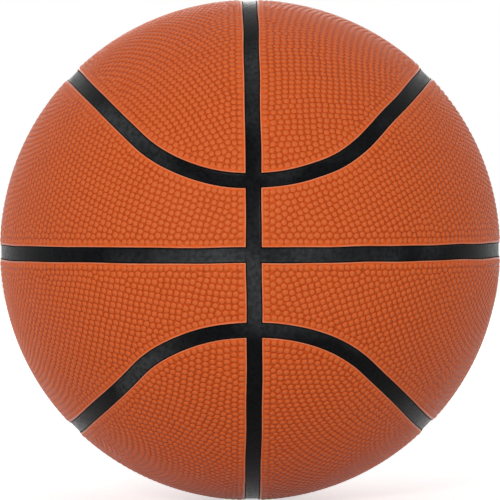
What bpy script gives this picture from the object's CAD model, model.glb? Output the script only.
"""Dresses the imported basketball: pebbled cover panels, black channel strips, finishes, light and camera.

The pieces are worked out in millimetres around the ball's centre and handed over in metres. Every
panel and strip is laid out on one plan of the seams, the same as the plan of the solids.
"""

import logging
import math
import random
from abc import ABC, abstractmethod
from dataclasses import dataclass
from enum import Enum
from functools import cache, cached_property

import bmesh
import bpy
import numpy as np
from bmesh.types import BMEdge, BMesh, BMFace, BMVert
from bpy.types import Material, Node, NodeOutputs, NodeSocket, NodeTree, Object
from mathutils import Matrix, Vector
from mathutils.geometry import delaunay_2d_cdt
from mathutils.kdtree import KDTree


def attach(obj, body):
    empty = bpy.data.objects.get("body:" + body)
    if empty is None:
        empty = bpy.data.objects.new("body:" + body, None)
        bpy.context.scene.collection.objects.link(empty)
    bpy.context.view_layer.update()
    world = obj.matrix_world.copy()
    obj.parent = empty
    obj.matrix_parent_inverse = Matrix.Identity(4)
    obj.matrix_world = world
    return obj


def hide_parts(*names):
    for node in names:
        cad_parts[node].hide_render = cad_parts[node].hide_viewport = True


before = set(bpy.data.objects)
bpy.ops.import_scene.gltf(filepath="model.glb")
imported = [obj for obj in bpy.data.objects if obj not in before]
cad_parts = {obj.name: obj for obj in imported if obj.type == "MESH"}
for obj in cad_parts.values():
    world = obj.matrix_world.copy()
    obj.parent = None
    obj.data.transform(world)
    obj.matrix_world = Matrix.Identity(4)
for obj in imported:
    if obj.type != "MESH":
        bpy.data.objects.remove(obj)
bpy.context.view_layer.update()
LOG = logging.getLogger("basketball")
METRES = 0.001
# Longer than any distance on the ball, in millimetres
FAR = 1e3
# Keeps a length that is divided by above 0
TINY = 1e-9
# Flat distance under which two points of a net are one
NET_TOLERANCE = 1e-8

Colour = tuple[float, float, float, float]
WHITE: Colour = (1.0, 1.0, 1.0, 1.0)


def unit(points: np.ndarray) -> np.ndarray:
    """Directions of the points from the ball's centre."""
    return points / np.linalg.norm(points, axis=1, keepdims=True)


def placed(*parts: np.ndarray | float) -> np.ndarray:
    """One row for each place, from the places' X, Y and Z."""
    return np.stack(np.broadcast_arrays(*parts), axis=1)


def angle_of(cosines: np.ndarray) -> np.ndarray:
    """Angles of the cosines, which rounding may carry a little past 1."""
    return np.arccos(np.clip(cosines, -1.0, 1.0))


def rise_of(sines: np.ndarray) -> np.ndarray:
    """Angles of the sines, which rounding may carry a little past 1."""
    return np.arcsin(np.clip(sines, -1.0, 1.0))


def smooth_step(values: np.ndarray) -> np.ndarray:
    """Values from 0 to 1 eased at both ends, and held outside."""
    held = np.clip(values, 0.0, 1.0)
    return held * held * (3.0 - 2.0 * held)


def tree_of(points: np.ndarray) -> KDTree:
    """Sorts points for quick searches.

    Args:
        points: One row for each point.

    Returns:
        The tree, which gives each point's place in the rows.
    """
    tree = KDTree(len(points))
    for rank, point in enumerate(points):
        tree.insert(point, rank)
    tree.balance()
    return tree


def made_object(shape: BMesh, name: str) -> Object:
    """Makes a shape an object of the scene.

    Args:
        shape: The shape, in metres. It is freed.
        name: The object's name.

    Returns:
        The object, at the origin.
    """
    mesh = bpy.data.meshes.new(name)
    shape.to_mesh(mesh)
    shape.free()
    made = bpy.data.objects.new(name, mesh)
    bpy.context.scene.collection.objects.link(made)
    return made


class Region(Enum):
    """The two shapes of cover panel, in the upper right quarter of the ball."""

    TOP = "top"
    SIDE = "side"


@dataclass(frozen=True)
class SeamPlan:
    """Where the channels lie on the ball. Lengths are in millimetres, angles in radians."""

    ball_r: float = 121.3
    cover_in_r: float = 119.9
    # Half of a channel's width, and the radii of its floor's middle and of its edges
    half: float = 3.6
    floor_r: float = 120.52
    edge_r: float = 120.88
    # Rise of the floor from its middle to the flanks
    crown: float = 0.06
    # Distance from the centreline at which the flanks begin, and width of the level edge beside a panel
    flank_start: float = 2.95
    edge_w: float = 0.12
    # Elevation of the loop in front, over the meridian, and at its sides
    front: float = math.radians(16.4)
    side: float = math.radians(45.0)
    # How far the seams wander, and the distance from the valve beyond which they wander in full
    sway: float = 0.2
    calm_reach: float = 22.0
    # Share of that distance in which nothing moves
    calm_share: float = 0.3
    # Pull, phase and heading of each wave in the wandering, and what their sum is divided by
    waves: tuple[tuple[tuple[float, ...], float, tuple[float, ...]], ...] = (
        ((13.0, 5.0, -7.0), 0.4, (0.0, 0.6, 1.0)),
        ((-6.0, 17.0, 9.0), 2.1, (1.0, 0.0, -0.5)),
        ((9.0, -8.0, 21.0), 4.0, (0.7, -0.7, 0.2)),
        ((24.0, 11.0, 15.0), 1.3, (-0.3, 0.4, 0.6)),
    )
    wave_sum: float = 1.6

    @property
    def end_rise(self) -> float:
        """Elevation of the axis that the loop's end arcs turn around."""
        return math.atan2(math.sin(self.front), math.cos(self.front) - math.cos(self.side))

    @property
    def end_angle(self) -> float:
        """Angle between that axis and the end arcs."""
        return self.end_rise - self.front

    @property
    def end_sweep(self) -> float:
        """Turn of an end arc, from the meridian to its join with a side arc."""
        return math.atan2(math.sin(self.side), math.cos(self.side) * math.cos(self.end_rise))

    @property
    def side_sweep(self) -> float:
        """Turn of a side arc, from its middle to its join with an end arc."""
        return math.atan2(math.cos(self.end_rise), math.sin(self.end_rise) * math.sin(self.side))

    def end_arc(self, turn: np.ndarray, angle: float, facing: float) -> np.ndarray:
        """Points around an end axis.

        Args:
            turn: Turns from the meridian towards +X.
            angle: Angle between the axis and the points.
            facing: -1 for the front end, 1 for the back end.

        Returns:
            One direction per turn.
        """
        rise = self.end_rise
        along, across = math.cos(angle), math.sin(angle) * np.cos(turn)
        return placed(
            math.sin(angle) * np.sin(turn),
            facing * (along * math.cos(rise) + across * math.sin(rise)),
            along * math.sin(rise) - across * math.cos(rise),
        )

    def side_arc(self, turn: np.ndarray, offset: float) -> np.ndarray:
        """Points along the loop's right side arc.

        Args:
            turn: Turns from the arc's middle towards the back.
            offset: Angle by which the points lie inside the loop.

        Returns:
            One direction per turn.
        """
        axis = np.array([-math.sin(self.side), 0.0, math.cos(self.side)])
        middle = np.array([math.cos(self.side), 0.0, math.sin(self.side)])
        back = np.array([0.0, 1.0, 0.0])
        spread = np.cos(turn)[:, None] * middle + np.sin(turn)[:, None] * back
        return math.sin(offset) * axis + math.cos(offset) * spread

    def to_meridian(self, points: np.ndarray) -> np.ndarray:
        """Distance along the ball from each direction to the meridian."""
        return self.ball_r * rise_of(np.abs(points[:, 0]))

    def to_equator(self, points: np.ndarray) -> np.ndarray:
        """Distance along the ball from each direction to the equator."""
        return self.ball_r * rise_of(np.abs(points[:, 2]))

    def into_loop(self, points: np.ndarray) -> np.ndarray:
        """Distance from each direction to the nearer loop's centreline.

        Args:
            points: Directions from the centre.

        Returns:
            The distances, positive on the side of the loop's pole.
        """
        x, y, z = np.abs(points[:, 0]), -np.abs(points[:, 1]), np.abs(points[:, 2])
        rise = self.end_rise
        along = -y * math.cos(rise) + z * math.sin(rise)
        down = -y * math.sin(rise) - z * math.cos(rise)
        ends = self.end_angle - angle_of(along)
        sides = rise_of(z * math.cos(self.side) - x * math.sin(self.side))
        return self.ball_r * np.where(np.arctan2(x, down) <= self.end_sweep, ends, sides)

    def channel_surface(self, points: np.ndarray) -> np.ndarray:
        """Surface of the channels, open where two of them cross.

        Args:
            points: Directions from the centre.

        Returns:
            The surface's radius at each direction.
        """
        rows = []
        for away in (self.to_meridian(points), self.to_equator(points), np.abs(self.into_loop(points))):
            rise = smooth_step((away - self.flank_start) / (self.half - self.edge_w - self.flank_start))
            dish = self.crown * np.clip(away / self.flank_start, 0.0, 1.0) ** 2
            rows.append(self.floor_r + dish + (self.edge_r - self.floor_r - self.crown) * rise)
        return np.minimum.reduce(rows)

    def swayed(self, points: np.ndarray, still: np.ndarray) -> np.ndarray:
        """Shifts directions a little along the ball, as moulded seams wander.

        Args:
            points: Directions from the centre.
            still: A direction around which nothing moves.

        Returns:
            The shifted directions.
        """
        shift = np.zeros_like(points)
        for pull, phase, heading in self.waves:
            shift += np.sin(points @ np.array(pull) + phase)[:, None] * np.array(heading)
        away = self.ball_r * angle_of(points @ still)
        share = smooth_step(away / self.calm_reach - self.calm_share)[:, None]
        return unit(points + shift * share * self.sway / self.ball_r / self.wave_sum)


PLAN = SeamPlan()


@dataclass(frozen=True)
class ValvePlace:
    """The axis of the valve, and places around it."""

    turn: float = math.radians(20.0)
    rise: float = math.radians(40.0)

    @property
    def axis(self) -> np.ndarray:
        """Direction of the valve's axis."""
        level = math.cos(self.rise)
        return np.array([level * math.sin(self.turn), level * math.cos(self.turn), math.sin(self.rise)])

    def away(self, points: np.ndarray) -> np.ndarray:
        """Distance along the ball from each direction to the axis, in millimetres."""
        return PLAN.ball_r * angle_of(points @ self.axis)

    def ring(self, radius: float, count: int) -> np.ndarray:
        """Directions in a circle around the axis.

        Args:
            radius: Distance of the circle from the axis, in millimetres.
            count: Number of directions.

        Returns:
            The directions, clockwise as seen from outside.
        """
        across = unit(np.cross(self.axis, [[0.0, 0.0, 1.0]]))[0]
        up = np.cross(across, self.axis)
        turns = -np.linspace(0.0, 2.0 * math.pi, count, endpoint=False)
        spread = np.cos(turns)[:, None] * across + np.sin(turns)[:, None] * up
        reach = math.sqrt(PLAN.ball_r**2 - radius**2)
        return unit(self.axis * reach + spread * radius)


VALVE = ValvePlace()


@dataclass(frozen=True)
class Pebbling:
    """Sizes of the pebbles and of the smooth margin along the channels, in millimetres."""

    pitch: float = 3.16
    row_inset: float = 5.95
    radius: float = 1.56
    valley_r: float = 120.87
    # Most that a foot's radius may be of the distance to the next pebble
    nearest_share: float = 0.494
    # Least and most of the radius that a foot takes, at random
    spread: tuple[float, float] = (0.9, 1.02)
    # Share of the radius at which the net's knots are cut, before the feet are rounded
    cut_share: float = 0.9
    # Distance inside the foot, and height over the valley
    skirt: tuple[float, float] = (0.12, 0.13)
    shoulder: tuple[float, float] = (0.56, 0.33)
    crown_up: float = 0.07
    # Width at which a new ring is inset, before it is rounded
    inset: float = 0.05
    # Distances to the next pebble at which a foot's crease is full and gone, in pitches
    crease_reach: tuple[float, float] = (0.58, 0.85)
    scatter: float = 0.38
    rounds: int = 24
    # Room left beside the fixed rows, in pitches
    row_room: float = 0.55
    # Distance over which pebbles press on each other, in pitches, how strongly, and on how many
    press_reach: float = 1.3
    press: float = 0.2
    neighbours: int = 7


@dataclass
class CoverPanel:
    """One closed cover panel with its pebbles, rounded lip, wall and inner face."""

    node: str
    region: Region
    signs: tuple[int, int]
    seed: int
    with_valve: bool = False
    pebbling: Pebbling = Pebbling()
    border_step: float = 1.4
    inner_step: float = 9.0
    collar_points: int = 44
    # Points on each arc of an outline before its steps are picked
    samples: int = 400
    # Least and most turn that evenly spread points are given, in radians
    tilts: tuple[float, float] = (0.6, 2.4)
    # Distance from the channel's centreline at which the pebbled ground ends and the lip begins
    lip_start: float = 4.35
    # Distance from the centreline, radius, and share of the worn rim's colour, negative where black
    lip: tuple[tuple[float, float, float], ...] = (
        (4.18, 121.05, 0.2),
        (3.98, 121.12, 0.8),
        (3.82, 121.11, 1.0),
        (3.7, 121.03, 0.9),
        (3.62, 120.93, -0.1),
        (3.61, 120.7, -1.0),
        (3.61, 119.9, -1.0),
    )
    # Distance from the valve's axis at which the collar begins
    collar_start: float = 7.3
    # Distance from the valve's axis, and radius
    collar: tuple[tuple[float, float], ...] = (
        (6.9, 121.08),
        (6.4, 121.12),
        (6.0, 121.1),
        (5.2, 121.0),
        (4.4, 120.9),
        (3.95, 120.86),
        (3.82, 120.8),
        (3.8, 119.9),
    )

    @property
    def inward(self) -> float:
        """1 if the panel lies inside the loop, -1 if it lies outside."""
        return 1.0 if self.region is Region.TOP else -1.0

    @property
    def collar_row(self) -> float:
        """Distance of the pebbles around the collar from the valve's axis."""
        return self.collar_start + self.pebbling.pitch / 2.0

    def edges(self, offset: float) -> list[tuple[float, np.ndarray]]:
        """The panel's outline as arcs, anticlockwise as seen from outside.

        Args:
            offset: Distance of the outline from the channels' centrelines, in millimetres.

        Returns:
            For each arc its length in millimetres and a dense row of directions.
        """
        gap = offset / PLAN.ball_r
        share = np.linspace(0.0, 1.0, self.samples)
        angle = PLAN.end_angle - self.inward * gap
        first = math.asin(math.sin(gap) / math.sin(angle))
        turns = first + (PLAN.end_sweep - first) * share
        loop = [
            PLAN.end_arc(turns, angle, -1.0),
            PLAN.side_arc((share * 2.0 - 1.0) * PLAN.side_sweep, self.inward * gap),
            PLAN.end_arc(turns[::-1], angle, 1.0),
        ]
        corner = loop[0][0]
        height = math.atan2(corner[2], -corner[1])
        if self.region is Region.TOP:
            rows = loop + [self.meridian(height + (math.pi - 2.0 * height) * share, gap, 1.0)]
        else:
            low = math.asin(math.sin(gap) / math.cos(gap))
            climb = low + (height - low) * share
            level = (share * 2.0 - 1.0) * math.acos(math.tan(gap))
            rows = [
                placed(math.cos(gap) * np.cos(level), math.cos(gap) * np.sin(level), math.sin(gap)),
                self.meridian(climb, gap, 1.0),
                *(row[::-1] for row in reversed(loop)),
                self.meridian(climb[::-1], gap, -1.0),
            ]
        return [(float(np.linalg.norm(np.diff(r, axis=0), axis=1).sum()) * PLAN.ball_r, r) for r in rows]

    def meridian(self, climb: np.ndarray, gap: float, facing: float) -> np.ndarray:
        """Directions beside the meridian.

        Args:
            climb: Angles up from the horizontal.
            gap: Angle between the directions and the meridian's plane.
            facing: 1 to climb from the back, -1 from the front.

        Returns:
            One direction per angle.
        """
        level = facing * math.cos(gap) * np.cos(climb)
        return placed(math.sin(gap), level, math.cos(gap) * np.sin(climb))

    def outline(self, offset: float, counts: list[int]) -> np.ndarray:
        """Directions around the panel with the same number on each arc at every offset.

        Args:
            offset: Distance from the channels' centrelines, in millimetres.
            counts: Number of steps on each arc.

        Returns:
            The closed row of directions, without a repeated first one.
        """
        rows = []
        for (_, dense), count in zip(self.edges(offset), counts):
            picks = np.linspace(0.0, len(dense) - 1.0, count, endpoint=False)
            low = np.floor(picks).astype(int)
            part = (picks - low)[:, None]
            rows.append(unit(dense[low] * (1.0 - part) + dense[low + 1] * part))
        return np.concatenate(rows)

    def room(self, points: np.ndarray) -> np.ndarray:
        """Room between directions and the channels around the panel.

        Args:
            points: Directions from the centre.

        Returns:
            The distances in millimetres, negative outside the panel.
        """
        around = [
            PLAN.to_meridian(points) * np.sign(points[:, 0]),
            PLAN.into_loop(points) * self.inward,
            np.where(points[:, 2] > 0.0, FAR, -FAR),
        ]
        if self.region is Region.SIDE:
            around.append(PLAN.to_equator(points) * np.sign(points[:, 2]))
        return np.minimum.reduce(around)

    def spread(self, step: float, dice: random.Random) -> np.ndarray:
        """Evenly spread directions over the whole ball, turned at random.

        Args:
            step: Distance between neighbours, in millimetres.
            dice: The panel's own random numbers.

        Returns:
            The directions.
        """
        count = round(4.0 * math.pi * PLAN.ball_r**2 / (step**2 * math.sin(math.pi / 3.0)))
        rank = np.arange(count) + 0.5
        height = 1.0 - 2.0 * rank / count
        turn = rank * math.pi * (3.0 - math.sqrt(5.0))
        flat = np.sqrt(1.0 - height**2)
        points = placed(flat * np.cos(turn), flat * np.sin(turn), height)
        tilt = dice.uniform(*self.tilts)
        axis = Vector((dice.uniform(-1, 1), 1.0, dice.uniform(-1, 1)))
        return points @ np.array(Matrix.Rotation(tilt, 3, axis)).T

    def open_ground(self, points: np.ndarray) -> np.ndarray:
        """Looks for ground clear of the row along the channels and of the collar.

        Args:
            points: Directions from the centre.

        Returns:
            Whether each direction lies there.
        """
        sizes = self.pebbling
        margin = sizes.pitch * sizes.row_room
        clear = self.room(points) > sizes.row_inset + margin
        if self.with_valve:
            clear &= VALVE.away(points) > self.collar_row + margin
        return clear

    def lay_pebbles(self, dice: random.Random) -> np.ndarray:
        """Directions of the pebbles: a row along the channels, and the rest pressed together inside it.

        Args:
            dice: The panel's own random numbers.

        Returns:
            One direction per pebble.
        """
        sizes = self.pebbling
        fixed = []
        for length, dense in self.edges(sizes.row_inset):
            count = max(2, round(length / sizes.pitch))
            picks = np.linspace(0, len(dense) - 1, count, endpoint=False).round().astype(int)
            fixed.append(dense[picks])
        if self.with_valve:
            around = round(2.0 * math.pi * self.collar_row / sizes.pitch)
            fixed.append(VALVE.ring(self.collar_row, around))
        row = np.concatenate(fixed)
        loose = self.spread(sizes.pitch, dice)
        loose = loose[self.open_ground(loose)]
        jolt = np.array([[dice.gauss(0.0, 1.0) for _ in range(3)] for _ in loose])
        loose = unit(loose + jolt * sizes.scatter / PLAN.ball_r)
        reach = sizes.pitch * sizes.press_reach / PLAN.ball_r
        for _ in range(sizes.rounds):
            every = np.concatenate([row, loose])
            tree = tree_of(every)
            hits = (tree.find_n(point, sizes.neighbours + 1)[1:] for point in loose)
            near = np.array([[rank for _, rank, _ in others] for others in hits])
            apart = loose[:, None, :] - every[near]
            length = np.linalg.norm(apart, axis=2, keepdims=True) + TINY
            push = (apart / length * np.clip(reach - length, 0.0, None)).sum(1)
            loose = unit(loose + push * sizes.press)
            loose = loose[self.open_ground(loose)]
        return np.concatenate([row, loose])

    def net(self, rings: list[np.ndarray], inside: np.ndarray) -> list[list[int]]:
        """Triangles between rings of directions and the directions within them.

        Args:
            rings: The outer ring, and the collar's ring where there is one.
            inside: Directions between them.

        Returns:
            Triangles as places in the rings and inside directions, one after the other.
        """
        points = np.concatenate([*rings, inside])
        middle = unit(rings[0].mean(axis=0, keepdims=True))[0]
        # Any direction well away from the middle serves to lay the points out flat
        across = unit(np.cross(middle, [[0.0, 1.0, 0.3]]))[0]
        up = np.cross(middle, across)
        flat = np.stack([points @ across, points @ up], axis=1) / (1.0 + points @ middle)[:, None]
        fence, start = [], 0
        for ring in rings:
            fence += [(start + i, start + (i + 1) % len(ring)) for i in range(len(ring))]
            start += len(ring)
        flat_points = [Vector(point) for point in flat]
        _, _, faces, origins, _, _ = delaunay_2d_cdt(flat_points, fence, [], 0, NET_TOLERANCE, True)
        named = [[origins[i][0] for i in face] for face in faces]
        closed = {frozenset(edge) for edge in fence}
        sharing: dict[frozenset[int], list[int]] = {}
        for rank, face in enumerate(named):
            for i in range(3):
                sharing.setdefault(frozenset((face[i - 1], face[i])), []).append(rank)
        kept = {rank for rank, face in enumerate(named) if max(face) >= start}
        growing = list(kept)
        while growing:
            face = named[growing.pop()]
            for i in range(3):
                edge = frozenset((face[i - 1], face[i]))
                for rank in sharing[edge] if edge not in closed else ():
                    if rank not in kept:
                        kept.add(rank)
                        growing.append(rank)
        return [named[rank] for rank in sorted(kept)]

    def raise_pebbles(
        self, shape: BMesh, knots: list[BMVert], middles: np.ndarray, dice: random.Random
    ) -> None:
        """Turns each knot of the net into a low round pebble.

        Args:
            shape: The panel's mesh.
            knots: The pebbles' vertices in the net.
            middles: The pebbles' directions.
            dice: The panel's own random numbers.
        """
        sizes = self.pebbling
        tree = tree_of(middles * sizes.valley_r)
        made = bmesh.ops.bevel(
            shape,
            geom=knots,
            offset=sizes.radius * sizes.cut_share,
            offset_type="OFFSET",
            affect="VERTICES",
            segments=1,
            profile=0.5,
            material=-1,
            clamp_overlap=True,
        )
        feet = [face for face in made["faces"] if face.is_valid]
        bmesh.ops.bisect_edges(shape, edges=list({e for face in feet for e in face.edges}), cuts=1)
        mark = shape.verts.layers.float["crease"]
        full, gone = (share * sizes.pitch for share in sizes.crease_reach)
        places = []
        for face in feet:
            middle = tree.find(face.calc_center_median())[0]
            nearest = tree.find_n(middle, 2)[1][2]
            reach = min(sizes.radius * dice.uniform(*sizes.spread), nearest * sizes.nearest_share)
            places.append((face, middle, reach))
            self.round_off(face, middle, reach, 0.0)
            for corner in face.verts:
                away = tree.find_n(corner.co, 2)[1][2]
                corner[mark] = min(1.0, max(0.0, (gone - away) / (gone - full)))
        for inward, height in (sizes.skirt, sizes.shoulder):
            bmesh.ops.inset_individual(shape, faces=feet, thickness=sizes.inset, use_even_offset=False)
            for face, middle, reach in places:
                self.round_off(face, middle, reach - inward, height)
                for corner in face.verts:
                    corner[mark] = 0.0
        bmesh.ops.poke(shape, faces=feet, offset=sizes.crown_up)

    def round_off(self, face: BMFace, middle: Vector, reach: float, height: float) -> None:
        """Sets a face's corners on a circle.

        Args:
            face: The face.
            middle: The circle's middle.
            reach: The circle's radius.
            height: Height over the valleys.
        """
        for corner in face.verts:
            arm = corner.co - middle
            arm -= middle * (arm.dot(middle) / middle.length_squared)
            corner.co = (middle + arm.normalized() * reach).normalized() * (self.pebbling.valley_r + height)

    def grow_rings(
        self, shape: BMesh, rim: list[BMVert], rings: list[tuple[np.ndarray, float, float]]
    ) -> list[BMVert]:
        """Extrudes an open rim of the mesh through a row of rings.

        Args:
            shape: The panel's mesh.
            rim: Vertices of the open rim, in order.
            rings: Directions, radius and worn share of each ring.

        Returns:
            Vertices of the last ring, in order.
        """
        worn = shape.verts.layers.float["worn"]
        for directions, radius, share in rings:
            edges = [shape.edges.get((rim[i], rim[(i + 1) % len(rim)])) for i in range(len(rim))]
            grown = bmesh.ops.extrude_edge_only(shape, edges=edges)["geom"]
            fresh = {item for item in grown if isinstance(item, BMVert)}
            ends = [[edge.other_vert(old) for edge in old.link_edges] for old in rim]
            rim = [next(end for end in row if end in fresh) for row in ends]
            for vertex, direction in zip(rim, directions):
                vertex.co = Vector(direction) * radius
                vertex[worn] = share
        return rim

    def build(self) -> Object:
        """Makes the panel as one closed mesh, in place and in metres.

        Returns:
            The panel's object.
        """
        dice = random.Random(self.seed)
        shape = bmesh.new()
        for layer in ("worn", "crease"):
            shape.verts.layers.float.new(layer)
        counts = [max(4, round(length / self.border_step)) for length, _ in self.edges(PLAN.half)]
        rings = [self.outline(self.lip_start, counts)]
        if self.with_valve:
            rings.append(VALVE.ring(self.collar_start, self.collar_points))
        pebbles = self.lay_pebbles(dice)
        every = np.concatenate([*rings, pebbles])
        knots = [shape.verts.new(point) for point in every * self.pebbling.valley_r]
        for face in self.net(rings, pebbles):
            shape.faces.new([knots[i] for i in face])
        outer, hole = len(rings[0]), sum(len(ring) for ring in rings)
        lips = [(self.outline(away, counts), radius, share) for away, radius, share in self.lip]
        backs = self.grow_rings(shape, knots[:outer], lips)
        inner_rings = [lips[-1][0]]
        inside = self.spread(self.inner_step, dice)
        inside = inside[self.room(inside) > self.inner_step]
        if self.with_valve:
            dish = [(VALVE.ring(away, self.collar_points), radius, 0.0) for away, radius in self.collar]
            backs += self.grow_rings(shape, knots[outer:hole], dish)
            inner_rings.append(dish[-1][0])
            inside = inside[VALVE.away(inside) > self.inner_step]
        backs += [shape.verts.new(point) for point in inside * PLAN.cover_in_r]
        for face in self.net(inner_rings, inside):
            shape.faces.new([backs[i] for i in reversed(face)])
        self.raise_pebbles(shape, knots[hole:], pebbles, dice)
        return finish_piece(shape, self.node, self.signs)


def finish_piece(shape: BMesh, node: str, signs: tuple[int, int], headroom: float = 0.01) -> Object:
    """Lets the seams wander, mirrors the shape into its place and hands it over in metres.

    Args:
        shape: The closed shape in the upper right, in millimetres. It is freed.
        node: The solid that the piece stands for.
        signs: Signs of X and Z where the piece lies.
        headroom: Least distance between the shape and the ball's outermost radius.

    Returns:
        The finished object, riding on the ball.
    """
    mirror = Matrix.Diagonal((signs[0], 1.0, signs[1], 1.0))
    bmesh.ops.transform(shape, matrix=mirror, verts=shape.verts)
    places = np.array([v.co for v in shape.verts])
    radii = np.minimum(np.linalg.norm(places, axis=1), PLAN.ball_r - headroom)
    moved = PLAN.swayed(unit(places), VALVE.axis) * radii[:, None] * METRES
    for vertex, place in zip(shape.verts, moved):
        vertex.co = place
    bmesh.ops.recalc_face_normals(shape, faces=shape.faces)
    for face in shape.faces:
        face.smooth = True
    piece = made_object(shape, f"{node}_dressed")
    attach(piece, "root")
    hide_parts(node)
    LOG.info("%s: %d faces", piece.name, len(piece.data.polygons))
    return piece


class Course(Enum):
    """The three courses that a channel strip can take."""

    MERIDIAN = "meridian"
    EQUATOR = "equator"
    LOOP = "loop"


@dataclass
class ChannelStrip:
    """One black strip in its channel, closed all round."""

    node: str
    course: Course
    signs: tuple[int, int] = (1, 1)
    step: float = 0.9
    # Distances of the face's corners from the centreline, on one side
    across: tuple[float, ...] = (3.6, 3.54, 3.44, 3.3, 3.12, 2.95, 2.3, 1.2, 0.0)

    def section(self) -> list[tuple[float, float]]:
        """Section of the strip, its face still level.

        Returns:
            Distance from the centreline and radius of each corner, once round.
        """
        top = [-away for away in self.across] + [away for away in reversed(self.across[:-1])]
        back = [(side * self.across[0], PLAN.cover_in_r) for side in (1.0, -1.0)]
        return [(away, PLAN.edge_r) for away in top] + back

    def build(self) -> Object:
        """Sweeps the section along its course, then lowers its face to the channels' surface.

        Returns:
            The strip's object.
        """
        shape = bmesh.new()
        if self.course is Course.MERIDIAN:
            self.sweep_ring(shape)
        elif self.course is Course.EQUATOR:
            self.sweep_equator(shape)
        else:
            self.sweep_loop(shape)
        bmesh.ops.recalc_face_normals(shape, faces=shape.faces)
        self.press_face(shape)
        return finish_piece(shape, self.node, self.signs)

    def start(self, shape: BMesh, outward: Vector, sideways: Vector) -> list:
        """Draws the section's outline.

        Args:
            shape: The strip's mesh.
            outward: Direction of the centreline's point from the ball's centre.
            sideways: Direction across the strip.

        Returns:
            The outline's vertices and edges.
        """
        corners = []
        for away, radius in self.section():
            lean = away / PLAN.ball_r
            corners.append(shape.verts.new((outward * math.cos(lean) + sideways * math.sin(lean)) * radius))
        edges = [shape.edges.new((corners[i - 1], corners[i])) for i in range(len(corners))]
        return corners + edges

    def turn(self, shape: BMesh, outline: list, axis: Vector, angle: float, whole: bool = False) -> list:
        """Spins an outline about an axis through the ball's centre.

        Args:
            shape: The strip's mesh.
            outline: Vertices and edges of the outline.
            axis: The axis to turn about.
            angle: The turn, in radians.
            whole: Whether the turn closes on itself.

        Returns:
            Vertices and edges of the outline at the turn's end.
        """
        steps = max(8, round(abs(angle) * PLAN.ball_r / self.step))
        made = bmesh.ops.spin(
            shape, geom=outline, cent=(0.0, 0.0, 0.0), axis=axis, angle=angle, steps=steps, use_merge=whole
        )
        return made["geom_last"]

    def sweep_ring(self, shape: BMesh) -> None:
        """Sweeps the section once round the meridian."""
        outline = self.start(shape, Vector((0.0, -1.0, 0.0)), Vector((1.0, 0.0, 0.0)))
        self.turn(shape, outline, Vector((1.0, 0.0, 0.0)), 2.0 * math.pi, True)

    def sweep_equator(self, shape: BMesh) -> None:
        """Sweeps the section along the equator's right half, between the meridian strip's sides.

        Args:
            shape: The strip's mesh.
        """
        reach = math.acos(math.sin(PLAN.half / PLAN.ball_r))
        up = Vector((0.0, 0.0, 1.0))
        outline = self.start(shape, Vector((math.cos(reach), -math.sin(reach), 0.0)), up)
        last = self.turn(shape, outline, up, 2.0 * reach)
        self.cap(shape, outline)
        self.cap(shape, last)

    def sweep_loop(self, shape: BMesh) -> None:
        """Sweeps the section along the upper loop's right half: end arc, side arc, end arc.

        Args:
            shape: The strip's mesh.
        """
        rise, gap = PLAN.end_rise, PLAN.half / PLAN.ball_r
        first = math.asin(math.sin(gap) / math.sin(PLAN.end_angle))
        outward = Vector(PLAN.end_arc(np.array([first]), PLAN.end_angle, -1.0)[0])
        front = Vector((0.0, -math.cos(rise), math.sin(rise)))
        side = Vector((-math.sin(PLAN.side), 0.0, math.cos(PLAN.side)))
        back = Vector((0.0, math.cos(rise), math.sin(rise)))
        outline = self.start(shape, outward, (front - outward * front.dot(outward)).normalized())
        sweep = PLAN.end_sweep - first
        last = outline
        for axis, angle in ((front, sweep), (side, 2.0 * PLAN.side_sweep), (back, sweep)):
            last = self.turn(shape, last, axis, angle)
        self.cap(shape, outline)
        self.cap(shape, last)

    def cap(self, shape: BMesh, outline: list) -> None:
        """Closes an end and sets it flat against the meridian strip's side.

        Args:
            shape: The strip's mesh.
            outline: Vertices and edges of the end's outline.
        """
        for corner in (item for item in outline if isinstance(item, BMVert)):
            radius = corner.co.length
            corner.co.x = radius * math.sin(PLAN.half / PLAN.ball_r)
            corner.co = corner.co.normalized() * radius
        ends = [item for item in outline if isinstance(item, BMEdge)]
        bmesh.ops.holes_fill(shape, edges=ends, sides=len(ends))

    def press_face(self, shape: BMesh) -> None:
        """Sets the outer face's vertices on the channels' surface.

        Args:
            shape: The strip's mesh.
        """
        places = np.array([v.co for v in shape.verts])
        surface = PLAN.channel_surface(unit(places))
        outer = np.linalg.norm(places, axis=1) > (PLAN.edge_r + PLAN.cover_in_r) / 2.0
        for vertex, is_outer, radius in zip(shape.verts, outer, surface):
            if is_outer:
                vertex.co = vertex.co.normalized() * radius


@dataclass(frozen=True)
class Patches:
    """Noise in patches: its scale, where it starts and is full, its detail, roughness and seed."""

    scale: float
    low: float
    high: float
    detail: float = 3.0
    rough: float = 0.55
    seed: float = 0.0


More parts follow.
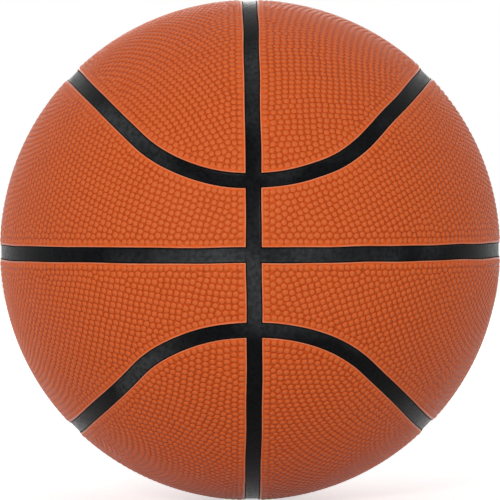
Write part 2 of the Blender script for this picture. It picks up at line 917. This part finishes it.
class NodeBoard:
    """Adds and links the nodes of one shader tree."""

    def __init__(self, tree: NodeTree) -> None:
        """Keeps the tree."""
        self.tree = tree

    def fill(self, node: Node, inputs: dict) -> None:
        """Sets or links inputs of a node.

        Args:
            node: The node.
            inputs: Values or sockets for the node's inputs, by name or place.
        """
        for name, value in inputs.items():
            if isinstance(value, NodeSocket):
                self.tree.links.new(value, node.inputs[name])
            else:
                node.inputs[name].default_value = value

    def add(self, kind: str, inputs: dict | None = None, **settings: object) -> NodeOutputs:
        """Adds a node.

        Args:
            kind: Blender's name of the node.
            inputs: Values or sockets for the node's inputs, by name or place.
            **settings: The node's own settings.

        Returns:
            The node's outputs.
        """
        node = self.tree.nodes.new(kind)
        for name, value in settings.items():
            setattr(node, name, value)
        self.fill(node, inputs or {})
        return node.outputs

    def math(self, operation: str, *values: object) -> NodeSocket:
        """Result of a math node on the values."""
        return self.add("ShaderNodeMath", dict(enumerate(values)), operation=operation)[0]

    def blend(self, share: object, first: object, second: object) -> NodeSocket:
        """Colour between the first and the second, by a share from 0 to 1."""
        return self.add("ShaderNodeMix", {"Factor": share, 6: first, 7: second}, data_type="RGBA")[2]

    def layer(self, under: object, mask: object, share: object, colour: Colour) -> NodeSocket:
        """A colour laid over another where the mask is high, at a share of its strength."""
        return self.blend(self.math("MULTIPLY", mask, share), under, colour)

    def ramp(
        self, value: object, low: object, high: object, start: float = 0.0, end: float = 1.0
    ) -> NodeSocket:
        """A value between low and high carried to between start and end, and held there."""
        inputs = {"Value": value, "From Min": low, "From Max": high, "To Min": start, "To Max": end}
        return self.add("ShaderNodeMapRange", inputs)[0]

    def patches(self, place: object, kind: Patches, start: float = 0.0, end: float = 1.0) -> NodeSocket:
        """Mask of noise in patches.

        Args:
            place: The place on the piece.
            kind: The patches.
            start: Value outside the patches.
            end: Value inside the patches.

        Returns:
            The mask.
        """
        inputs = {"Vector": place, "W": kind.seed, "Scale": kind.scale}
        inputs |= {"Detail": kind.detail, "Roughness": kind.rough}
        noise = self.add("ShaderNodeTexNoise", inputs, noise_dimensions="4D")[0]
        return self.ramp(noise, kind.low, kind.high, start, end)

    def attribute(self, name: str) -> NodeSocket:
        """Value of one of the mesh's own attributes."""
        return self.add("ShaderNodeAttribute", attribute_name=name)["Fac"]

    def bump(self, height: object, reach: float, strength: float) -> NodeSocket:
        """Normal of a relief on which a height of 1 rises by the reach, in metres."""
        inputs = {"Height": height, "Distance": reach, "Strength": strength}
        return self.add("ShaderNodeBump", inputs)["Normal"]


def shared_group(name: str, inputs: dict[str, float | None], outputs: tuple[str, ...]) -> NodeTree:
    """Starts a node group with named sockets.

    Args:
        name: The group's name.
        inputs: First value of each input, or None for a vector.
        outputs: Name of each output, a number.

    Returns:
        The group, with its input and output nodes.
    """
    group = bpy.data.node_groups.new(name, "ShaderNodeTree")
    for label, value in inputs.items():
        kind = "NodeSocketVector" if value is None else "NodeSocketFloat"
        socket = group.interface.new_socket(label, in_out="INPUT", socket_type=kind)
        if value is not None:
            socket.default_value = value
    for label in outputs:
        group.interface.new_socket(label, in_out="OUTPUT", socket_type="NodeSocketFloat")
    group.nodes.new("NodeGroupInput")
    group.nodes.new("NodeGroupOutput")
    return group


@cache
def rubber_grain() -> NodeTree:
    """Group for the fine grain and cloudy tone of moulded rubber, built once.

    Returns:
        A group with outputs Tone and Speck from 0 to 1, and Height.
    """
    inputs = {"Place": None, "Cloud Scale": 60.0, "Grain Scale": 2500.0}
    group = shared_group("rubber_grain", inputs, ("Tone", "Speck", "Height"))
    board = NodeBoard(group)
    given = group.nodes["Group Input"].outputs
    coarse_scale, coarse_part, fine_part = 0.3, 0.6, 0.4
    tone_ends, speck_ends = (0.3, 0.7), (0.35, 0.68)
    wide_scale = board.math("MULTIPLY", given["Grain Scale"], coarse_scale)
    scales = (given["Cloud Scale"], given["Grain Scale"], wide_scale)
    cloud, grain, coarse = (
        board.add("ShaderNodeTexNoise", {"Vector": given["Place"], "Scale": scale, "Detail": detail})[0]
        for scale, detail in zip(scales, (4.0, 2.0, 2.0))
    )
    outputs = {
        "Tone": board.ramp(cloud, *tone_ends),
        "Speck": board.ramp(grain, *speck_ends),
        "Height": board.math("MULTIPLY_ADD", coarse, coarse_part, board.math("MULTIPLY", grain, fine_part)),
    }
    board.fill(group.nodes["Group Output"], outputs)
    return group


@cache
def depth_gauge() -> NodeTree:
    """Group that tells how far out on the ball a place lies, built once.

    Returns:
        A group whose output Share goes from 0 at the radius Low to 1 at the radius High, in metres.
    """
    group = shared_group("depth_gauge", {"Place": None, "Low": 0.1205, "High": 0.1213}, ("Share",))
    board = NodeBoard(group)
    given = group.nodes["Group Input"].outputs
    radius = board.add("ShaderNodeVectorMath", {0: given["Place"]}, operation="LENGTH")["Value"]
    board.fill(group.nodes["Group Output"], {"Share": board.ramp(radius, given["Low"], given["High"])})
    return group


def linear(red: int, green: int, blue: int) -> Colour:
    """Linear colour of an sRGB colour given from 0 to 255."""
    parts = [c / 255.0 for c in (red, green, blue)]
    return (*[c / 12.92 if c <= 0.04045 else ((c + 0.055) / 1.055) ** 2.4 for c in parts], 1.0)


@dataclass(frozen=True, kw_only=True)
class Finish(ABC):
    """What every finish has: the slot that it fills, its grain and its bump."""

    slot: str
    roughness: float
    cloud_scale: float
    grain_scale: float
    bump_reach: float = 0.00015
    bump_strength: float = 0.5

    @cached_property
    def material(self) -> Material:
        """The finish's material, made once.

        Returns:
            The material.
        """
        material = bpy.data.materials.new(self.slot)
        material.use_nodes = True
        board = NodeBoard(material.node_tree)
        place = board.add("ShaderNodeTexCoord")["Object"]
        inputs = {"Place": place, "Cloud Scale": self.cloud_scale, "Grain Scale": self.grain_scale}
        grain = board.add("ShaderNodeGroup", inputs, node_tree=rubber_grain())
        values = {"Roughness": self.roughness, **self.coat(board, place, grain)}
        height = values.pop("Height", grain["Height"])
        values["Normal"] = board.bump(height, self.bump_reach, self.bump_strength)
        board.fill(board.tree.nodes["Principled BSDF"], values)
        return material

    @abstractmethod
    def coat(self, board: NodeBoard, place: NodeSocket, grain: NodeOutputs) -> dict[str, object]:
        """Works out the finish's own colour and gloss.

        Args:
            board: The material's board.
            place: The place on the piece.
            grain: Outputs of the grain group.

        Returns:
            Values for the shader's inputs by name, and Height where the grain's isn't the bump's.
        """

    def depth(self, board: NodeBoard, place: NodeSocket, low: float, high: float) -> NodeSocket:
        """Share of the way from one radius to another, both in millimetres."""
        inputs = {"Place": place, "Low": low * METRES, "High": high * METRES}
        return board.add("ShaderNodeGroup", inputs, node_tree=depth_gauge())["Share"]


@dataclass(frozen=True, kw_only=True)
class CoverFinish(Finish):
    """Orange pebbled rubber, deeper in the valleys, paler on worn tops and on the lip, black below it."""

    slot: str = "cover_rubber"
    roughness: float = 0.5
    cloud_scale: float = 38.0
    grain_scale: float = 2600.0
    bump_reach: float = 0.00008
    bump_strength: float = 0.4
    valley: Colour = linear(224, 88, 21)
    top: Colour = linear(211, 101, 52)
    # Radii between which the tops' colour comes, in millimetres
    top_reach: tuple[float, float] = (120.92, 121.22)
    cloud: Colour = linear(220, 99, 40)
    cloud_share: float = 0.35
    speck: Colour = linear(238, 150, 104)
    speck_share: float = 0.12
    crease: Colour = linear(124, 32, 6)
    crease_share: float = 0.6
    rim: Colour = linear(222, 152, 122)
    rim_patches: Patches = Patches(130.0, 0.35, 0.65)
    # Shares of the rim's colour outside and inside its rubbed patches
    rim_shares: tuple[float, float] = (0.35, 0.85)
    wall: Colour = linear(16, 16, 17)
    # Worn share at which the wall is black all over
    wall_mark: float = -0.4
    specular: float = 0.11
    specular_tint: Colour = (1.0, 0.72, 0.54, 1.0)
    # Roughness from darker to paler cloud, and how much smoother the tops are
    rough: tuple[float, float] = (0.29, 0.38)
    top_gloss: float = 0.08

    def coat(self, board: NodeBoard, place: NodeSocket, grain: NodeOutputs) -> dict[str, object]:
        """Works out the cover's colour and gloss.

        Args:
            board: The material's board.
            place: The place on the piece.
            grain: Outputs of the grain group.

        Returns:
            Values for the shader's inputs by name.
        """
        tops = self.depth(board, place, *self.top_reach)
        worn = board.attribute("worn")
        base = board.blend(tops, self.valley, self.top)
        cloudy = board.layer(base, grain["Tone"], self.cloud_share, self.cloud)
        specked = board.layer(cloudy, grain["Speck"], self.speck_share, self.speck)
        creased = board.layer(specked, board.attribute("crease"), self.crease_share, self.crease)
        rubbed = board.math("MULTIPLY", worn, board.patches(place, self.rim_patches, *self.rim_shares))
        rim = board.blend(board.math("MAXIMUM", rubbed, 0.0), creased, self.rim)
        rough = board.ramp(grain["Tone"], 0.0, 1.0, *self.rough)
        return {
            "Base Color": board.blend(board.ramp(worn, 0.0, self.wall_mark), rim, self.wall),
            "Roughness": board.math("SUBTRACT", rough, board.math("MULTIPLY", tops, self.top_gloss)),
            "Specular IOR Level": self.specular,
            "Specular Tint": self.specular_tint,
        }


@dataclass(frozen=True, kw_only=True)
class ChannelFinish(Finish):
    """Black channel rubber: mottled, with patches of dull sheen and dead black flanks."""

    slot: str = "channel_rubber"
    roughness: float = 0.55
    cloud_scale: float = 55.0
    grain_scale: float = 1900.0
    deep: Colour = linear(1, 1, 2)
    pale: Colour = linear(10, 11, 13)
    mottle: Patches = Patches(480.0, 0.38, 0.66, 3.0, 0.6)
    dust: Colour = linear(61, 63, 64)
    sheen: Patches = Patches(17.0, 0.5, 0.64, 2.0, 0.4, 5.1)
    # Shares of the dust's colour from deep to pale mottling
    dust_shares: tuple[float, float] = (0.45, 1.0)
    speck: Colour = linear(64, 66, 70)
    speck_share: float = 0.1
    flank: Colour = linear(2, 2, 2)
    # Radii between which the flanks turn dull, in millimetres
    flank_reach: tuple[float, float] = (120.6, 120.75)
    specular: float = 0.04
    # Roughness from deep to pale mottling
    rough: tuple[float, float] = (0.24, 0.4)

    def coat(self, board: NodeBoard, place: NodeSocket, grain: NodeOutputs) -> dict[str, object]:
        """Works out the channel's colour and gloss.

        Args:
            board: The material's board.
            place: The place on the piece.
            grain: Outputs of the grain group.

        Returns:
            Values for the shader's inputs by name.
        """
        flank = self.depth(board, place, *self.flank_reach)
        mottle = board.patches(place, self.mottle)
        base = board.blend(mottle, self.deep, self.pale)
        dust_share = board.ramp(mottle, 0.0, 1.0, *self.dust_shares)
        dusty = board.layer(base, board.patches(place, self.sheen), dust_share, self.dust)
        specked = board.layer(dusty, grain["Speck"], self.speck_share, self.speck)
        return {
            "Base Color": board.blend(flank, specked, self.flank),
            "Roughness": board.math("MAXIMUM", board.ramp(mottle, 0.0, 1.0, *self.rough), flank),
            "Specular IOR Level": self.specular,
        }


@dataclass(frozen=True, kw_only=True)
class InnerFinish(Finish):
    """Rubber of one colour with cloudy tone, powder and grain."""

    cloud_scale: float = 45.0
    dark: Colour
    pale: Colour
    powder: Patches = Patches(90.0, 0.5, 0.75, 6.0, 0.65)
    # Shares of the powder's colour from darker to paler cloud
    powder_shares: tuple[float, float] = (0.25, 0.9)
    speck_share: float = 0.12
    # How much smoother and rougher than its middle the rubber gets
    smoother: float = 0.06
    rougher: float = 0.1

    def coat(self, board: NodeBoard, place: NodeSocket, grain: NodeOutputs) -> dict[str, object]:
        """Works out the rubber's colour and gloss.

        Args:
            board: The material's board.
            place: The place on the piece.
            grain: Outputs of the grain group.

        Returns:
            Values for the shader's inputs by name.
        """
        share = board.ramp(grain["Tone"], 0.0, 1.0, *self.powder_shares)
        powdered = board.layer(self.dark, board.patches(place, self.powder), share, self.pale)
        ends = (self.roughness - self.smoother, self.roughness + self.rougher)
        return {
            "Base Color": board.layer(powdered, grain["Speck"], self.speck_share, self.pale),
            "Roughness": board.ramp(grain["Tone"], 0.0, 1.0, *ends),
        }


@dataclass(frozen=True, kw_only=True)
class ThreadFinish(Finish):
    """Nylon thread wound over the bladder in crossing courses, with rubber cement between them."""

    slot: str = "thread"
    roughness: float = 0.8
    cloud_scale: float = 30.0
    grain_scale: float = 3000.0
    bump_reach: float = 0.0003
    bump_strength: float = 0.9
    # Turn, tilt and phase of each course
    courses: tuple[tuple[float, float, float], ...] = (
        (0.0, 0.3, 0.0),
        (1.1, 1.2, 2.0),
        (2.0, 0.8, 4.0),
        (2.8, 1.5, 1.0),
        (0.6, 2.3, 3.0),
    )
    thread_scale: float = 420.0
    waver: float = 1.2
    lay: Patches = Patches(26.0, 0.42, 0.56, 1.0)
    cement: Colour = linear(120, 112, 96)
    strand: Colour = linear(222, 218, 205)
    # Heights between which the cement gives way to the thread
    strand_reach: tuple[float, float] = (0.1, 0.8)
    aged: Colour = linear(196, 184, 156)
    aged_share: float = 0.3
    crossed: Colour = linear(240, 238, 230)
    crossed_share: float = 0.4
    # What each course adds to the crossings' paler tone
    course_tone: float = 0.2

    def coat(self, board: NodeBoard, place: NodeSocket, grain: NodeOutputs) -> dict[str, object]:
        """Works out the winding's colour and height.

        Args:
            board: The material's board.
            place: The place on the piece.
            grain: Outputs of the grain group.

        Returns:
            Values for the shader's inputs by name, and Height for the bump.
        """
        height: object = 0.0
        tone: object = 0.0
        for turn, tilt, phase in self.courses:
            turned = board.add("ShaderNodeMapping", {"Vector": place, "Rotation": (tilt, turn, phase)})[0]
            wave = {"Vector": turned, "Scale": self.thread_scale, "Phase Offset": phase}
            wave |= {"Distortion": self.waver, "Detail": 1.0}
            threads = board.add("ShaderNodeTexWave", wave, bands_direction="Z")[1]
            strand = board.math("MULTIPLY", threads, board.patches(turned, self.lay))
            height = board.math("MAXIMUM", height, strand)
            tone = board.math("ADD", board.math("MULTIPLY", strand, self.course_tone), tone)
        base = board.blend(board.ramp(height, *self.strand_reach), self.cement, self.strand)
        aged = board.layer(base, grain["Tone"], self.aged_share, self.aged)
        return {"Base Color": board.layer(aged, tone, self.crossed_share, self.crossed), "Height": height}


@dataclass
class Basketball:
    """The whole ball: eight panels, seven strips and what lies under them."""

    cover: Finish = CoverFinish()
    channel: Finish = ChannelFinish()
    thread: Finish = ThreadFinish()
    valve: Finish = InnerFinish(
        slot="valve_rubber",
        roughness=0.45,
        grain_scale=2800.0,
        dark=linear(20, 20, 21),
        pale=linear(70, 70, 68),
    )
    core: Finish = InnerFinish(
        slot="core_rubber",
        roughness=0.5,
        grain_scale=3200.0,
        dark=linear(74, 71, 67),
        pale=linear(128, 124, 116),
    )
    bladder: Finish = InnerFinish(
        slot="bladder_rubber",
        roughness=0.5,
        grain_scale=1800.0,
        dark=linear(26, 26, 28),
        pale=linear(96, 95, 92),
    )
    carcass: Finish = InnerFinish(
        slot="carcass_rubber",
        roughness=0.7,
        grain_scale=1500.0,
        dark=linear(52, 50, 48),
        pale=linear(120, 114, 104),
    )
    # First seeds of the panels inside the loops and of those at the sides
    top_seed: int = 11
    side_seed: int = 31

    def panels(self) -> list[CoverPanel]:
        """Lists the cover panels.

        Returns:
            The eight panels. The first, at the top right, has the valve's collar.
        """
        made = []
        for rank, (x, z) in enumerate(((1, 1), (-1, 1), (1, -1), (-1, -1))):
            hand = "right" if x > 0 else "left"
            end, side = ("top", "upper") if z > 0 else ("bottom", "lower")
            top_seed, side_seed = self.top_seed + rank, self.side_seed + rank
            made.append(CoverPanel(f"panel_{end}_{hand}", Region.TOP, (x, z), top_seed, rank == 0))
            made.append(CoverPanel(f"panel_side_{side}_{hand}", Region.SIDE, (x, z), side_seed))
        return made

    def strips(self) -> list[ChannelStrip]:
        """Lists the channel strips.

        Returns:
            The seven strips.
        """
        made = [ChannelStrip("strip_meridian", Course.MERIDIAN)]
        for hand, x in (("right", 1), ("left", -1)):
            made.append(ChannelStrip(f"strip_equator_{hand}", Course.EQUATOR, (x, 1)))
            for level, z in (("upper", 1), ("lower", -1)):
                made.append(ChannelStrip(f"strip_{level}_loop_{hand}", Course.LOOP, (x, z)))
        return made

    def dress(self, piece: Object, finish: Finish) -> None:
        """Gives a piece its material.

        Args:
            piece: The piece or kept solid.
            finish: Its finish.
        """
        piece.data.materials.clear()
        piece.data.materials.append(finish.material)

    def build(self) -> None:
        """Makes and dresses every piece."""
        for strip in self.strips():
            self.dress(strip.build(), self.channel)
        for panel in self.panels():
            self.dress(panel.build(), self.cover)
        inner = {
            "bladder": self.bladder,
            "valve_patch": self.valve,
            "valve_housing": self.valve,
            "valve_core": self.core,
            "winding": self.thread,
            "carcass": self.carcass,
        }
        for node, finish in inner.items():
            self.dress(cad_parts[node], finish)
            LOG.info("%s: dressed", node)


@dataclass(frozen=True)
class SoftLamp:
    """A soft lamp that faces the ball."""

    name: str
    # Angle to the right of the camera and angle up, in degrees
    aim: tuple[float, float]
    # Width and height, in metres
    size: tuple[float, float]
    watts: float
    distance: float = 2.9

    def hang(self) -> None:
        """Hangs the lamp in its place."""
        aside, up = (math.radians(angle) for angle in self.aim)
        place = Vector((math.sin(aside) * math.cos(up), -math.cos(aside) * math.cos(up), math.sin(up)))
        light = bpy.data.lights.new(self.name, "AREA")
        light.shape = "RECTANGLE"
        light.energy = self.watts
        light.size, light.size_y = self.size
        lamp = bpy.data.objects.new(self.name, light)
        lamp.location = place * self.distance
        lamp.rotation_euler = place.to_track_quat("Z", "Y").to_euler()
        bpy.context.scene.collection.objects.link(lamp)


@dataclass
class Studio:
    """Floor, white surroundings, lamps and the camera. Lengths are in metres."""

    ball_r: float = 0.1213
    # Distance of the camera from the ball's centre, in radii of the ball
    away: float = 16.0
    yaw: float = math.radians(0.870)
    pitch: float = math.radians(1.184)
    roll: float = math.radians(-0.293)
    # Radius of the ball in the photograph, as a share of half the frame
    rim_share: float = 250.27 / 250.0
    film_w: float = 36.0
    clip: tuple[float, float] = (0.05, 50.0)
    floor_r: float = 9.0
    floor_sides: int = 96
    # Floor's grey to the camera and in reflections, and in the light that it throws on the ball
    floor_tone: float = 0.92
    floor_tone_around: float = 0.62
    floor_glow: float = 0.6
    floor_roughness: float = 0.9
    floor_specular: float = 0.1
    # Strength of the surroundings as light on the ball
    world_level: float = 0.4
    lamps: tuple[SoftLamp, ...] = (
        SoftLamp("key_lamp", (-13.0, 16.0), (0.5, 0.5), 29.0),
        SoftLamp("side_lamp", (-40.0, 0.0), (0.7, 1.6), 15.0),
        SoftLamp("right_lamp", (34.0, 12.0), (0.9, 0.9), 11.0),
        SoftLamp("back_lamp", (180.0, 12.0), (1.0, 1.0), 9.0),
    )

    def camera(self) -> None:
        """Sets the camera where the photograph was taken from."""
        turns = ((self.roll, "Y"), (self.pitch, "X"), (self.yaw, "Z"))
        roll, pitch, yaw = (Matrix.Rotation(angle, 3, axis) for angle, axis in turns)
        seen = (roll @ pitch @ yaw).transposed()
        right, ahead, up = seen.col[0], seen.col[1], seen.col[2]
        lens = bpy.data.cameras.new("camera")
        lens.sensor_width = self.film_w
        lens.lens = lens.sensor_width / 2.0 * self.rim_share * math.sqrt(self.away**2 - 1.0)
        lens.clip_start, lens.clip_end = self.clip
        camera = bpy.data.objects.new("camera", lens)
        basis = Matrix((right, up, -ahead)).transposed().to_4x4()
        camera.matrix_world = Matrix.Translation(-ahead * self.away * self.ball_r) @ basis
        bpy.context.scene.collection.objects.link(camera)
        bpy.context.scene.camera = camera

    def floor(self) -> None:
        """Lays the pale floor on which the ball rests, seen only from above."""
        shape = bmesh.new()
        bmesh.ops.create_circle(shape, cap_ends=True, segments=self.floor_sides, radius=self.floor_r)
        bmesh.ops.translate(shape, verts=shape.verts, vec=(0.0, 0.0, -self.ball_r))
        for face in shape.faces:
            face.normal_update()
            if face.normal.z < 0.0:
                face.normal_flip()
        floor = made_object(shape, "floor")
        material = bpy.data.materials.new("floor_paint")
        material.use_nodes = True
        board = NodeBoard(material.node_tree)
        seen = self.seen_directly(board)
        around, direct = ((tone, tone, tone, 1.0) for tone in (self.floor_tone_around, self.floor_tone))
        from_below = board.add("ShaderNodeNewGeometry")["Backfacing"]
        paint = {
            "Base Color": board.blend(seen, around, direct),
            "Roughness": self.floor_roughness,
            "Specular IOR Level": self.floor_specular,
            "Alpha": board.math("SUBTRACT", 1.0, from_below),
            "Emission Color": WHITE,
            "Emission Strength": board.math("MULTIPLY", seen, self.floor_glow),
        }
        board.fill(board.tree.nodes["Principled BSDF"], paint)
        floor.data.materials.append(material)

    def seen_directly(self, board: NodeBoard) -> NodeSocket:
        """Tells the camera's and reflections' rays from light on the ball.

        Args:
            board: The material's or world's board.

        Returns:
            1 for rays from the camera, in reflections and through glass, else 0.
        """
        path = board.add("ShaderNodeLightPath")
        direct = board.math("MAXIMUM", path["Is Camera Ray"], path["Is Transmission Ray"])
        return board.math("MAXIMUM", direct, path["Is Glossy Ray"])

    def surroundings(self) -> None:
        """Lights evenly from all around, and shows white to the camera and in reflections."""
        world = bpy.data.worlds.new("surroundings")
        bpy.context.scene.world = world
        world.use_nodes = True
        board = NodeBoard(world.node_tree)
        level = board.ramp(self.seen_directly(board), 0.0, 1.0, self.world_level, 1.0)
        board.fill(board.tree.nodes["Background"], {"Color": WHITE, "Strength": level})

    def build(self) -> None:
        """Sets everything up around the ball."""
        self.camera()
        self.floor()
        self.surroundings()
        for lamp in self.lamps:
            lamp.hang()
        bpy.context.scene.view_settings.view_transform = "Standard"


def main() -> None:
    """Builds the ball and its studio, and notes the sizes."""
    logging.basicConfig(level=logging.INFO, format="%(name)s %(message)s")
    Studio().build()
    Basketball().build()


if __name__ == "__main__":
    main()
